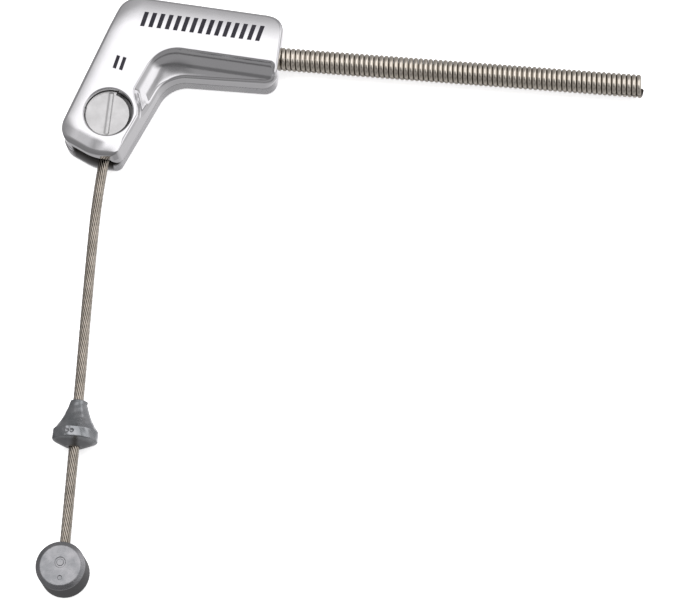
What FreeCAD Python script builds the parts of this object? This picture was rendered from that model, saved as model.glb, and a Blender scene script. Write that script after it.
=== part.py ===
"""Link-wire carrier of a cantilever brake: a two-piece elbow that guides the brake cable into a coil conduit
and holds a turning button with a short stranded link wire.

Millimetres. The origin is on the flat back of the carrier, on the button's pivot axis. +X runs along the
conduit, +Z out of the polished front, and the link wire leaves along -Y.
"""
import FreeCAD, Part
import math
import os

Vec = FreeCAD.Vector
Z_AXIS = Vec(0, 0, 1)

# Carrier
FRONT_Z = 7.4  # the back is at z = 0
SEAM_Z = 2.8  # between the cover and the front housing
LIP_Z = 4.7  # floor of the scoop on the elbow's inner side
ARM_END_X = 23.05
FRONT_EDGE_R = 0.9
BACK_EDGE_CHAMFER = 0.35
# corner points of the elbow, each with its corner radius; the housing's nose is set back from the cover's
ELBOW_SIDES = [
    (7.45, 6.9, 4.3),
    (ARM_END_X, 6.9, 1.85),
    (ARM_END_X, 16.9, 2.6),
    (0.03, 18.5, 3.0),
]
COVER_OUTLINE = [(-7.25, -4.0, 2.6), (-1.7, -6.6, 7.0), (1.8, -6.6, 1.2)] + ELBOW_SIDES
HOUSING_OUTLINE = [(-7.17, -3.75, 2.6), (-1.7, -6.35, 7.0), (1.9, -6.35, 1.2)] + ELBOW_SIDES
# the scoop's upper edge, running out past the arm's end and past the inner side
SCOOP_OUTLINE = [
    (ARM_END_X + 3.0, 9.31, 0.5),
    (6.07, 10.73, 4.8),
    (1.55, -0.35, 1.0),
    (14.0, -2.1, 0.5),
    (ARM_END_X + 3.0, 3.0, 0.5),
]
SCOOP_FLOOR_R = 2.7
# drafted boss that keeps the metal round the button's bore inside the scoop
BOSS_R = 4.3  # at the front face
BOSS_DRAFT = 0.4  # growth in radius per unit of depth

# Turning button
BUTTON_R = 3.5
BUTTON_BORE_R = 3.55
BUTTON_TOP_Z = 6.5
BUTTON_BOTTOM_Z = 0.85
BUTTON_CHAMFER = 0.3
FLANGE_R = 3.85
FLANGE_TOP_Z = 2.35
FLANGE_POCKET_R = 3.92
FLANGE_POCKET_Z = 0.8
RIB_WIDTH = 0.6
RIB_HEIGHT = 0.22
RIB_LENGTH = 6.3

# Link wire and what is on it
WIRE_R = 0.75
WIRE_ROUTE = [
    Vec(0.0, -1.5, 3.1),
    Vec(-0.03, -14.0, 3.12),
    Vec(0.08, -28.0, 3.2),
    Vec(0.5, -42.0, 3.31),
    Vec(0.97, -55.0, 3.24),
    Vec(1.5, -66.6, 2.7),
]
WIRE_SWING = 36.0  # degrees, from the mouth's right side to its left side
MOUTH_LOW_Z = 2.2
MOUTH_HIGH_Z = 4.9
MOUTH_CLEARANCE = 0.1
CONE_TOP_Y = -42.2
CONE_HEIGHT = 6.8
CONE_NECK_R = 1.25
CONE_RIM_R = 3.25
CONE_FLARE = 4.2  # height of the concave flare
CONE_BAND = 1.6  # height of the rim's band
CONE_UNDER_R = 1.3
BARREL_R = 3.5
BARREL_HEIGHT = 5.4
BARREL_CHAMFER = 0.35

# Conduit
CONDUIT_Y = 11.4
CONDUIT_Z = 3.6
CONDUIT_R = 1.7
CONDUIT_BORE_R = 1.0
CONDUIT_ROUTE = [
    Vec(17.0, CONDUIT_Y, CONDUIT_Z),
    Vec(76.1, CONDUIT_Y, CONDUIT_Z),
]
SOCKET_R = 1.85
COLLAR_R = 2.2
COLLAR_LENGTH = 3.0
COLLAR_POCKET_R = 2.25
COLLAR_POCKET_END = 0.05

# Cable entry and its liner
ENTRY_ANGLE = 135.0  # degrees from +X, the way the brake cable leaves upwards
LINER_R = 1.6
LINER_BORE_R = 1.25
LINER_CHANNEL_R = 1.65
LINER_BEND_R = 11.0
LINER_BEND_END_X = 12.2
LINER_STRAIGHT = 3.7  # the liner's straight piece at the entry
ENTRY_OVERSHOOT = 4.0  # how far the channel's cutter runs out of the entry

# Rivets
RIVET_PLACES = [(18.9, 15.2), (13.2, 8.75), (0.5, 8.7)]
RIVET_SHANK_R = 0.85
RIVET_HEAD_R = 1.4
RIVET_HEAD_DEPTH = 0.6
RIVET_TOP_Z = 3.9


def rounded_wire(corners, z):
    """Closed outline through corners of (x, y, radius), with a tangent arc in each corner."""
    places = [Vec(x, y, z) for x, y, radius in corners]
    edges = []
    end = None
    start = None
    for i, (x, y, radius) in enumerate(corners):
        here = places[i]
        back = (places[i - 1] - here).normalize()
        ahead = (places[(i + 1) % len(places)] - here).normalize()
        half = back.getAngle(ahead) / 2
        reach = radius / math.tan(half)
        middle = here + (back + ahead).normalize() * (radius / math.sin(half) - radius)
        arc = Part.Arc(here + back * reach, middle, here + ahead * reach)
        if end is not None:
            edges.append(Part.LineSegment(end, here + back * reach).toShape())
        else:
            start = here + back * reach
        edges.append(arc.toShape())
        end = here + ahead * reach
    edges.append(Part.LineSegment(end, start).toShape())
    return Part.Wire(edges)


def rounded_prism(corners, low, high):
    return Part.Face(rounded_wire(corners, low)).extrude(Vec(0, 0, high - low))


def upright(radius, low, high, x=0.0, y=0.0):
    return Part.makeCylinder(radius, high - low, Vec(x, y, low), Z_AXIS)


def bent_path(points, name):
    """Straight runs joined by tangent arcs that are as large as the runs beside them allow."""
    edges = []
    start = points[0]
    for before, here, after in zip(points, points[1:], points[2:]):
        back = (before - here).normalize()
        ahead = (after - here).normalize()
        half_turn = (math.pi - back.getAngle(ahead)) / 2
        reach = 0.45 * min(before.distanceToPoint(here), after.distanceToPoint(here))
        radius = reach / math.tan(half_turn)
        middle = here + (back + ahead).normalize() * (radius / math.cos(half_turn) - radius)
        print(name, "bend radius", round(radius, 1))
        edges.append(Part.LineSegment(start, here + back * reach).toShape())
        edges.append(Part.Arc(here + back * reach, middle, here + ahead * reach).toShape())
        start = here + ahead * reach
    edges.append(Part.LineSegment(start, points[-1]).toShape())
    return Part.Wire(edges)


def swept_tube(path, radius):
    start = path.Edges[0].valueAt(path.Edges[0].FirstParameter)
    along = path.Edges[0].tangentAt(path.Edges[0].FirstParameter)
    ring = Part.Wire(Part.Circle(start, along, radius).toShape())
    return path.makePipeShell([ring], True, True)


def channel_path(overshoot):
    """The liner's centreline from outside the cable entry, round its bend, to the conduit's root."""
    turn = math.radians(180.0 - ENTRY_ANGLE)
    outward = Vec(math.cos(math.radians(ENTRY_ANGLE)), math.sin(math.radians(ENTRY_ANGLE)), 0)
    centre = Vec(LINER_BEND_END_X, CONDUIT_Y + LINER_BEND_R, CONDUIT_Z)

    def on_bend(angle):
        return centre - Vec(math.sin(angle), math.cos(angle), 0) * LINER_BEND_R

    mouth = on_bend(turn) + outward * (LINER_STRAIGHT + overshoot)
    edges = [
        Part.LineSegment(mouth, on_bend(turn)).toShape(),
        Part.Arc(on_bend(turn), on_bend(turn / 2), on_bend(0)).toShape(),
        Part.LineSegment(on_bend(0), CONDUIT_ROUTE[0]).toShape(),
    ]
    return Part.Wire(edges)


def mouth_wedge(low, high):
    """The space that the wire sweeps between the mouth's two sides."""
    side = WIRE_R + MOUTH_CLEARANCE
    reach = 12.0
    swing = math.radians(-WIRE_SWING)

    def turned(x, y):
        return Vec(x * math.cos(swing) - y * math.sin(swing), x * math.sin(swing) + y * math.cos(swing), low)

    corners = [Vec(side, 0, low), Vec(side, -reach, low), turned(-side, -reach), turned(-side, 0)]
    return Part.Face(Part.makePolygon(corners + corners[:1])).extrude(Vec(0, 0, high - low))


def conduit_pocket():
    """The socket that the conduit leaves through, with the wider pocket that traps its collar."""
    root = CONDUIT_ROUTE[0]
    along = Vec(1, 0, 0)
    socket = Part.makeCylinder(SOCKET_R, ARM_END_X + 1 - root.x, root, along)
    start = root - along * COLLAR_POCKET_END
    pocket = Part.makeCylinder(COLLAR_POCKET_R, COLLAR_LENGTH + 2 * COLLAR_POCKET_END, start, along)
    return socket.fuse(pocket)


def carrier_hollows():
    """Everything that is hollow in the closed carrier, apart from the rivets' holes."""
    hollows = [
        upright(FLANGE_POCKET_R, FLANGE_POCKET_Z, SEAM_Z),
        upright(BUTTON_BORE_R, SEAM_Z, FRONT_Z + 1),
        mouth_wedge(MOUTH_LOW_Z, MOUTH_HIGH_Z),
        conduit_pocket(),
        swept_tube(channel_path(ENTRY_OVERSHOOT), LINER_CHANNEL_R),
    ]
    return hollows


def rivet(x, y):
    shank = upright(RIVET_SHANK_R, 0, RIVET_TOP_Z, x, y)
    head = Part.makeCone(RIVET_HEAD_R, RIVET_SHANK_R, RIVET_HEAD_DEPTH, Vec(x, y, 0), Z_AXIS)
    return shank.fuse(head).removeSplitter()


def cover_rivets():
    return Part.makeCompound([rivet(x, y) for x, y in RIVET_PLACES])


def scoop():
    """Cutter for the concave scoop along the elbow's inner side."""
    block = rounded_prism(SCOOP_OUTLINE, LIP_Z, FRONT_Z + 1)
    floor_edges = [e for e in block.Edges if e.BoundBox.ZMax < LIP_Z + 0.01]
    block = block.makeFillet(SCOOP_FLOOR_R, floor_edges)
    low, high = LIP_Z - 1, FRONT_Z + 2
    low_r = BOSS_R + (FRONT_Z - low) * BOSS_DRAFT
    high_r = BOSS_R + (FRONT_Z - high) * BOSS_DRAFT
    return block.cut(Part.makeCone(low_r, high_r, high - low, Vec(0, 0, low), Z_AXIS))


def front_housing():
    body = rounded_prism(HOUSING_OUTLINE, SEAM_Z, FRONT_Z)
    rim = [e for e in body.Edges if e.BoundBox.ZMin > FRONT_Z - 0.01]
    body = body.makeFillet(FRONT_EDGE_R, rim)
    body = body.cut(scoop())
    for hollow in carrier_hollows():
        body = body.cut(hollow)
    return body.cut(cover_rivets()).removeSplitter()


def back_cover():
    body = rounded_prism(COVER_OUTLINE, 0, SEAM_Z)
    rim = [e for e in body.Edges if e.BoundBox.ZMax < 0.01]
    body = body.makeChamfer(BACK_EDGE_CHAMFER, rim)
    for hollow in carrier_hollows():
        body = body.cut(hollow)
    return body.cut(cover_rivets()).removeSplitter()


def cable_liner():
    path = channel_path(0.0)
    return swept_tube(path, LINER_R).cut(swept_tube(path, LINER_BORE_R))


def tube_along_x(start, length, outer, inner):
    along = Vec(1, 0, 0)
    return Part.makeCylinder(outer, length, start, along).cut(Part.makeCylinder(inner, length, start, along))


def conduit_coil():
    root, end = CONDUIT_ROUTE
    return tube_along_x(root, root.distanceToPoint(end), CONDUIT_R, CONDUIT_BORE_R)


def conduit_collar():
    return tube_along_x(CONDUIT_ROUTE[0], COLLAR_LENGTH, COLLAR_R, CONDUIT_R)


def link_wire():
    path = bent_path(WIRE_ROUTE, "link_wire")
    wire = swept_tube(path, WIRE_R)
    print("link_wire length", round(path.Length, 2))
    print("link_wire volume / (section x length)", round(wire.Volume / (math.pi * WIRE_R**2 * path.Length), 4))
    return wire


def link_button(wire):
    body = upright(BUTTON_R, BUTTON_BOTTOM_Z, BUTTON_TOP_Z)
    rim = [e for e in body.Edges if e.BoundBox.ZMin > BUTTON_TOP_Z - 0.01]
    body = body.makeChamfer(BUTTON_CHAMFER, rim)
    flange = upright(FLANGE_R, BUTTON_BOTTOM_Z, FLANGE_TOP_Z)
    rib = Part.makeBox(RIB_WIDTH, RIB_LENGTH, RIB_HEIGHT, Vec(-RIB_WIDTH / 2, -RIB_LENGTH / 2, BUTTON_TOP_Z))
    return body.fuse(flange).fuse(rib).cut(wire).removeSplitter()


def wire_cone(wire):
    """Cast cone: neck, concave flare, straight band and a shallow underside, with the wire through it."""
    rim_y = -CONE_FLARE
    under_y = -(CONE_FLARE + CONE_BAND)
    neck = Vec(CONE_NECK_R, 0, 0)
    rim = Vec(CONE_RIM_R, rim_y, 0)
    waist = Vec(CONE_NECK_R + 0.3 * (CONE_RIM_R - CONE_NECK_R), 0.55 * rim_y, 0)
    corners = [rim, Vec(CONE_RIM_R, under_y, 0), Vec(CONE_UNDER_R, -CONE_HEIGHT, 0), Vec(0, -CONE_HEIGHT, 0)]
    corners += [Vec(0, 0, 0), neck]
    outline = [Part.Arc(neck, waist, rim).toShape()]
    outline += [Part.LineSegment(a, b).toShape() for a, b in zip(corners, corners[1:])]
    body = Part.Face(Part.Wire(outline)).revolve(Vec(0, 0, 0), Vec(0, 1, 0), 360)
    before, after = WIRE_ROUTE[3], WIRE_ROUTE[4]
    along = (before - after).normalize()
    body.Placement = FreeCAD.Placement(Vec(0, 0, 0), FreeCAD.Rotation(Vec(0, 1, 0), along))
    body.translate(before - along * (WIRE_ROUTE[3].y - CONE_TOP_Y))
    return body.cut(wire)


def barrel_end(wire):
    centre = WIRE_ROUTE[-1]
    low = centre.z - BARREL_HEIGHT / 2
    body = upright(BARREL_R, low, low + BARREL_HEIGHT, centre.x, centre.y)
    rims = [e for e in body.Edges if e.BoundBox.ZMax - e.BoundBox.ZMin < 0.01]
    return body.makeChamfer(BARREL_CHAMFER, rims).cut(wire)


def build():
    wire = link_wire()
    return {
        "front_housing": front_housing(),
        "back_cover": back_cover(),
        "cover_rivets": cover_rivets(),
        "cable_liner": cable_liner(),
        "conduit_collar": conduit_collar(),
        "conduit_coil": conduit_coil(),
        "link_button": link_button(wire),
        "link_wire": wire,
        "wire_cone": wire_cone(wire),
        "barrel_end": barrel_end(wire),
    }


os.makedirs("parts", exist_ok=True)
for node, shape in build().items():
    print(node, shape.isValid(), "solids", len(shape.Solids), "volume", round(shape.Volume, 2))
    shape.exportStep("parts/" + node + ".step")
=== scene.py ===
"""Looks of a link-wire carrier: a polished elbow with a turning button, a short stranded wire with its cast
cone and barrel end, and a close-wound conduit.

Shapes are worked out in millimetres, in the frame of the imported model, and made into meshes in metres.
"""
import math

import bpy
import numpy as np
from mathutils import Matrix, Vector


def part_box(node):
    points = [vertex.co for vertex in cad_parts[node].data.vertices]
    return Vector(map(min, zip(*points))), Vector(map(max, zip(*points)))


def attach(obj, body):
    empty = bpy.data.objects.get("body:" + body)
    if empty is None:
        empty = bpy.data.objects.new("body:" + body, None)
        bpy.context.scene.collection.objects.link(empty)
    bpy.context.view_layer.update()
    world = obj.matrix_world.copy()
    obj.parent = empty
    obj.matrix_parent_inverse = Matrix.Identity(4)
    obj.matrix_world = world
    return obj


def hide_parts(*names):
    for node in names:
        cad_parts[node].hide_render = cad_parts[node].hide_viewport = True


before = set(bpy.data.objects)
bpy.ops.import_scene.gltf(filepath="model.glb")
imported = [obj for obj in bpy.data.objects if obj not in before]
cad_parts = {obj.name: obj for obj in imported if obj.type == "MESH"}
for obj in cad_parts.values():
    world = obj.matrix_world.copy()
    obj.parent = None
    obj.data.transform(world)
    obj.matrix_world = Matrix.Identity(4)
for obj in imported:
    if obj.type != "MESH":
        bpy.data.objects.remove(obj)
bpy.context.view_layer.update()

MM = 0.001
FAR = 1e3  # further away than anything here, in millimetres


def node_box(node):
    """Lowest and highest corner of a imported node, in millimetres."""
    low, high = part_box(node)
    return np.array(low) / MM, np.array(high) / MM


HOUSING_LOW, HOUSING_HIGH = node_box("front_housing")
BUTTON_LOW, BUTTON_HIGH = node_box("link_button")
BARREL_LOW, BARREL_HIGH = node_box("barrel_end")
CONDUIT_LOW, CONDUIT_HIGH = node_box("conduit_coil")
COLLAR_LOW, COLLAR_HIGH = node_box("conduit_collar")

# Carrier: corner points of the elbow, each with its corner radius
FRONT_Z = HOUSING_HIGH[2]
SEAM_Z = HOUSING_LOW[2]
ARM_END_X = HOUSING_HIGH[0]
ELBOW_SIDES = [
    (7.45, 6.9, 4.3),
    (ARM_END_X, 6.9, 1.85),
    (ARM_END_X, 16.9, 2.6),
    (0.03, 18.5, 3.0),
]
COVER_OUTLINE = [(-7.25, -4.0, 2.6), (-1.7, -6.6, 7.0), (1.8, -6.6, 1.2)] + ELBOW_SIDES
HOUSING_OUTLINE = [(-7.17, -3.75, 2.6), (-1.7, -6.35, 7.0), (1.95, -6.58, 1.3)] + ELBOW_SIDES
NOSE_OUTLINE = [  # the nose's own line, with the other sides out of the way
    (-10.0, -2.41, 0.5),
    HOUSING_OUTLINE[1],
    (4.4, -6.75, 2.6),
    (8.5, 0.0, 1.0),
    (40.0, 0.0, 1.0),
    (40.0, 40.0, 1.0),
    (-10.0, 40.0, 1.0),
]

# The front falls away towards its left side, its top side and its nose
LEFT_WIDTH, LEFT_DROP = 3.2, 0.42
TOP_WIDTH, TOP_DROP = 6.5, 0.9
FALL_LIMIT = 1.2  # the fall goes on this many widths from where it starts
NOSE_WIDTH, NOSE_SLOPE, NOSE_SOFT = 2.5, 0.36, 0.7  # an even slope, with a soft start
NOSE_LEVEL_X, NOSE_LEVEL_WIDTH = 2.6, 4.0  # the slope fades towards the right
NOSE_ROLL_WIDTH, NOSE_ROLL_SOFT = 0.6, 0.12  # steeper by its edge
NOSE_ROLL, NOSE_ROLL_LEVEL = 0.36, 0.56  # with the slope, and where the slope has faded
OUTER_EDGE_R = 0.5  # along the left and top sides
INNER_EDGE_R = 0.75  # along the leg's inner side
INNER_EDGE_DEPTHS = (1.5, 3.5)  # it takes over between these depths inside the left and top sides
NOSE_EDGE_R = 0.3
NOSE_EDGE_YS = (-3.6, -5.0)
END_EDGE_R = 0.45  # round the arm's end
END_EDGE_XS = (ARM_END_X - 3, ARM_END_X - 1)
SEAM_EDGE_R = 0.1
SEAM_BEVEL = 0.28
BACK_EDGE_R = 0.7
HOLE_EDGE_R = 0.12

# Scoop along the elbow's inner side, by its upper edge
SCOOP_OUTLINE = [
    (ARM_END_X + 6.0, 9.1, 0.5),
    (6.07, 10.73, 4.8),
    (1.07, -1.5, 1.0),
    (14.0, -6.5, 0.5),
    (ARM_END_X + 6.0, -3.0, 0.5),
]
SCOOP_R = 5.06  # radius of the scoop's hollow profile
SCOOP_FLOOR_Z = 4.87
LIP_Z = 4.7
SCOOP_SHIFT = 0.68  # how far behind its upper edge the profile would turn upright
SCOOP_END_Y = -0.75
SCOOP_END_X, SCOOP_END_R = ARM_END_X + 0.1, 0.6
END_OVERHANG = 0.6  # how far the front of the arm's end stands past its foot
OVERHANG_ZS = (SEAM_Z, SEAM_Z + 2.5)
OVERHANG_XS = (ARM_END_X - 3, ARM_END_X)
SCOOP_RIM_R = 0.18
SCOOP_RIM_ZS = (5.6, 6.8)
LIP_EDGE_R = 0.5
BOSS_R = 4.3
BOSS_DRAFT = 0.4
BOSS_FILLET_R = 1.0
BOSS_RIPPLE, BOSS_RIPPLE_PITCH = 0.05, 1.1  # polishing waves round the boss

# Hollows in the carrier
BUTTON_BORE_R = 3.55
BORE_EDGE_R = 0.26
POCKET_R = 3.92
POCKET_Z = 0.8
MOUTH_LOW_Z = 2.2
MOUTH_HIGH_Z = 4.9
MOUTH_RIGHT, MOUTH_LEFT = 0.85, 1.25  # room beside the middle of the wire's sweep
MOUTH_CORNER_R = 1.0
MOUTH_ROUND = 1.0  # where the cover's floor runs out of the mouth
MOUTH_FLOOR_SIDES = (0.25, -0.25)  # the floor rises between these distances to the mouth's sides
NOSE_GAP_Z = 4.6  # gap between nose and cover beside the mouth, at its high end
NOSE_GAP_END_X = 2.7
NOSE_GAP_DEPTH = 1.5
NOSE_GAP_POWER = 1.4  # how fast it narrows
WIRE_SWING = math.radians(36)
SOCKET_R = 1.85
COLLAR_POCKET_R = 2.25
COLLAR_POCKET_END = 0.05
CHANNEL_R = 1.65
ENTRY_ANGLE = math.radians(135)
BEND_R = 11.0
BEND_END_X = 12.2
RIVET_PLACES = [(18.9, 15.2), (13.2, 8.75), (0.5, 8.7)]
RIVET_SHANK_R = 0.85
RIVET_HEAD_R = 1.4
RIVET_HEAD_DEPTH = 0.6
RIVET_TOP_Z = 3.9

# Painted shade in the carrier's hollows and seams, with a rougher finish there: how dark it is, and the
# distances to its outside, or places, over which that sets in
SKIN, BORE_SKIN = 0.1, 0.12  # a point this near a hollow counts as one on its wall
MOUTH_WALLS = (0.8, -0.4)
HOLE_SHADE, HOLE_WALLS = 0.6, (-0.9, -1.4)
SCOOP_SHADE, SCOOP_WALLS = 0.45, (-0.3, -0.9)
SCOOP_SHADE_ZS = (6.2, 5.4)
SCOOP_SHADE_FROM_XS, SCOOP_SHADE_TO_XS = (5.2, 6.7), (12.0, 9.0)
LINE_SHADE = 0.3  # along the nose's edge
LINE_INNER_WALLS, LINE_OUTER_WALLS = (-NOSE_ROLL_WIDTH, 0.2 - NOSE_ROLL_WIDTH), (0.0, -0.1)
SEAM_SHADE, SEAM_WALLS = 0.35, (-0.02, -0.08)

# Turning button
BUTTON_R = 3.5
BUTTON_SHOULDER = 0.045  # how much wider it is below its face
SHOULDER_DEPTHS = (0.14, 0.24)
# painted shade sets in between these depths below the button's face
BUTTON_SHADE_DEPTHS = (0.3, 0.9)
RIB_WIDTH = 0.6
RIB_HEIGHT = 0.22
RIB_RISE = 0.09  # how far its right edge stands up
RIB_SLOPE_XS = (-0.5, 0.0)
RIB_LENGTH = 6.6
RIB_END = 0.3  # length of its sloped ends
RIB_EDGE_R = 0.04
RIB_ROOT = 1.0
GROOVE_HALF, GROOVE_DEPTH, GROOVE_R = 0.04, 0.06, 0.03  # a fine groove at the rib's right foot
BUTTON_TOP_Z = BUTTON_HIGH[2] - RIB_HEIGHT
GAP_LEFT_DEPTH, GAP_RIGHT_DEPTH = 0.2, 0.9  # depth of the crescent cut beside the face
GAP_DEPTH_XS = (0.0, 2.0)
CRESCENT_CENTRE = (-0.2, -0.12)
CRESCENT_R = 3.22
CLOSED_FROM, CLOSED_TO = math.radians(76), math.radians(170)  # where the face fills its bore
FLANGE_R = 3.85
FLANGE_TOP_Z = 2.35

# Link wire and what is on it
WIRE_ROUTE = [
    (0.0, -1.5, 3.1),
    (-0.75, -9.0, 3.11),
    (-0.25, -24.0, 3.18),
    (0.65, -42.0, 3.31),
    (1.1, -55.0, 3.24),
    (1.5, -66.6, 2.7),
]
WIRE_R = 0.75
WIRE_HOLE_R = 0.8
STRAND_R = 0.15
STRAND_LAY = 11.0  # length of one turn of the outer strands
CONE_TOP_Y = -42.2
CONE_HEIGHT = 6.8
CONE_NECK_R = 1.08
CONE_RIM_R = 3.22
CONE_FLARE = 4.5
CONE_BAND = 1.4
CONE_UNDER_R = 1.3
CONE_CURVE = 0.4  # share of the flare that opens late
CONE_SIDE_SCALE, CONE_UNDER_SCALE = 0.88, 0.9  # turn their sloped fields into true distances
CONE_EDGE_R, CONE_TOP_EDGE_R, CONE_HOLE_EDGE_R = 0.12, 0.15, 0.08
# painted shade on the cone's underside
CONE_SHADE = 0.6  # of its underside
CONE_SHADE_DEPTHS = (0.0, 0.4)
CAST_WAVE = 0.02  # unevenness of the casting
CAST_WAVE_START = 0.4
NUB_DEPTH, NUB_R = 0.32, 0.28  # what is left of the gate, on the neck
FIN_RISE, FIN_HALF = 0.05, 0.06  # along the parting line
FIN_MIDDLE, FIN_REACH = 2.6, 2.0
DIMPLE_SIDES = (-0.72, -0.05)
DIMPLE_DEPTH, DIMPLE_OUT, DIMPLE_R, DIMPLE_EDGE_R = 5.15, 0.08, 0.3, 0.05
BARREL_R = 3.5
BARREL_FACE_R = 2.85
BARREL_SLOPE = 0.55  # fall of the rim round the barrel's flat face
BARREL_RIM_SCALE = 0.87
BARREL_EDGE_R, BARREL_RIM_R = 0.12, 0.05
BARREL_WIRE_SLOPE = 0.05
# painted shade sets in between these depths below the barrel's top face
BARREL_SHADE_DEPTHS = (0.35, 0.65)
STAMP_DEPTH, STAMP_EDGE_R = 0.12, 0.05
STAMP_RING, STAMP_RING_R, STAMP_LINE_HALF = (-0.03, 0.44), 0.62, 0.13
STAMP_DOT, STAMP_DOT_R = (0.19, -1.74), 0.3

# Conduit
CONDUIT_Y = 11.4
CONDUIT_Z = 3.6
CONDUIT_ROUTE = [
    (17.0, CONDUIT_Y, CONDUIT_Z),
    (76.1, CONDUIT_Y, CONDUIT_Z),
]
COIL_WIRE_R = 0.35
COIL_PITCH = 0.715
COIL_TURN_STEPS = 36

# Printed marks: lower and upper line of the arm's row, and the corners of the leg's first bar
ROW_LOW = np.array([(2.95, 13.5), (21.1, 12.5)])
ROW_TOP = np.array([(3.35, 15.85), (21.6, 15.0)])
ROW_BARS = 15
ROW_BAR_SHARE = 0.52  # share of each pitch that is printed
LEG_BAR = [(-0.2, 6.75), (0.3, 6.6), (0.2, 8.75), (0.7, 8.6)]
LEG_BAR_STEPS = [(0.0, 0.0), (0.95, -0.19)]
BAR_COLUMNS, BAR_ROWS = 5, 9
MARK_LIFT = 0.012  # printed marks stand this far off the metal

# Camera
VIEW_DISTANCE = 0.56
VIEW_BELOW = math.radians(17.5)
VIEW_RIGHT = math.radians(4.5)
VIEW_ROLL = math.radians(6.3145)
VIEW_TARGET = Vector((0.03564, -0.02312, 0.0))
VIEW_LENS = 207.5

# Meshes
CARRIER_GRID = 0.12
SMALL_GRID = 0.09
GRID_MARGIN = 1
SETTLE_ROUNDS = 5  # how often each point is moved on to its surface
LEAST_SLOPE = 0.2  # keeps a step finite where a field is flat
NORMAL_REACH = 0.02
WIRE_STEP = 0.45
WIRE_SIDES, STRAND_SIDES, COIL_SIDES = 6, 10, 14
NEAR_UPRIGHT = 0.2  # a tube this near upright finds its sides from the x axis instead
# painted shade, partly grime, in the gaps between wound turns and strands
CREVICE_REACH = 0.16
CREVICE_SHARES = (0.2, 0.8)
CREVICE_BLOCK = 4096


# ---------------------------------------------------------------- camera


def make_camera():
    toward = Vector((math.tan(VIEW_RIGHT), -math.tan(VIEW_BELOW), 1)).normalized()
    right = Vector((0, 1, 0)).cross(toward).normalized()
    up = toward.cross(right)
    axes = Matrix((right, up, toward)).transposed()
    turned = Matrix.Rotation(VIEW_ROLL, 3, "Z") @ axes
    data = bpy.data.cameras.new("camera")
    data.lens = VIEW_LENS
    data.clip_end = 10
    camera = bpy.data.objects.new("camera", data)
    bpy.context.scene.collection.objects.link(camera)
    place = VIEW_TARGET + turned.col[2] * VIEW_DISTANCE
    camera.matrix_world = Matrix.Translation(place) @ turned.to_4x4()
    bpy.context.scene.camera = camera


# ---------------------------------------------------------------- meshes


def mesh_piece(name, points, faces, material, smooth=True, normals=None, depth=None):
    """An object from points in millimetres; depth, from 0 to 1, tells its material how much painted shade
    each point gets, and how much rougher it is.
    """
    data = bpy.data.meshes.new(name)
    data.from_pydata((np.asarray(points) * MM).tolist(), [], [list(map(int, f)) for f in faces])
    data.update()
    if smooth:
        data.shade_smooth()
    if normals is not None:
        data.normals_split_custom_set_from_vertices(normals.tolist())
    # the point attribute that carries painted shade and a rougher finish
    if depth is not None:
        data.attributes.new("shade_and_dull", "FLOAT", "POINT").data.foreach_set("value", np.asarray(depth, np.float32))
    data.materials.append(material)
    piece = bpy.data.objects.new(name, data)
    bpy.context.scene.collection.objects.link(piece)
    return piece


def unit(vector):
    return vector / np.linalg.norm(vector)


def ring_faces(rows, sides):
    """Quads between consecutive closed rings of points."""
    faces = []
    for row in range(rows - 1):
        for side in range(sides):
            a = row * sides + side
            b = row * sides + (side + 1) % sides
            faces.append((a, b, b + sides, a + sides))
    return faces


def tube(line, radius, sides):
    """Points and faces of a closed round tube along a line; radius may vary along it."""
    line = np.asarray(line, float)
    radius = np.broadcast_to(radius, len(line))
    along = np.gradient(line, axis=0)
    along /= np.linalg.norm(along, axis=1)[:, None]
    across = np.cross(along, (0.0, 0.0, 1.0))
    weak = np.linalg.norm(across, axis=1) < NEAR_UPRIGHT
    across[weak] = np.cross(along[weak], (1.0, 0.0, 0.0))
    across /= np.linalg.norm(across, axis=1)[:, None]
    other = np.cross(along, across)
    angle = np.arange(sides) * 2 * np.pi / sides
    ring = across[:, None] * np.cos(angle)[None, :, None] + other[:, None] * np.sin(angle)[None, :, None]
    points = (line[:, None] + ring * radius[:, None, None]).reshape(-1, 3)
    faces = ring_faces(len(line), sides)
    last = len(points) - sides
    faces.append(tuple(range(sides))[::-1])
    faces.append(tuple(range(last, last + sides)))
    return points, faces


def joined(parts):
    """Points and faces of several meshes as one."""
    points, faces, count = [], [], 0
    for part_points, part_faces in parts:
        points.append(part_points)
        faces += [tuple(i + count for i in face) for face in part_faces]
        count += len(part_points)
    return np.concatenate(points), faces


# ---------------------------------------------------------------- fields, negative inside


def rounded(a, b, radius):
    """What two fields share, with the edge between them rounded to that radius."""
    both = np.hypot(np.maximum(radius + a, 0), np.maximum(radius + b, 0))
    return np.minimum(-radius, np.maximum(a, b)) + both


def cut(a, b, radius):
    """The first field less the second, with the edge between them rounded."""
    return rounded(a, -b, radius)


def loop_parts(corners):
    """Straight runs and corner arcs of a closed counter-clockwise outline of (x, y, radius) corners."""
    runs, arcs, tangents = [], [], []
    for i, (x, y, radius) in enumerate(corners):
        here = np.array([x, y])
        back = unit(np.array(corners[i - 1][:2]) - here)
        ahead = unit(np.array(corners[(i + 1) % len(corners)][:2]) - here)
        half = math.acos(back @ ahead) / 2
        reach = radius / math.tan(half)
        centre = here + unit(back + ahead) * radius / math.sin(half)
        turn = math.copysign(1, ahead[0] * back[1] - ahead[1] * back[0])
        arcs.append((centre, unit(here - centre), math.sin(half), radius, turn))
        tangents.append((here + back * reach, here + ahead * reach))
    for i in range(len(corners)):
        start, end = tangents[i][1], tangents[(i + 1) % len(corners)][0]
        runs.append((start, unit(end - start), np.linalg.norm(end - start)))
    return runs, arcs


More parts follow.
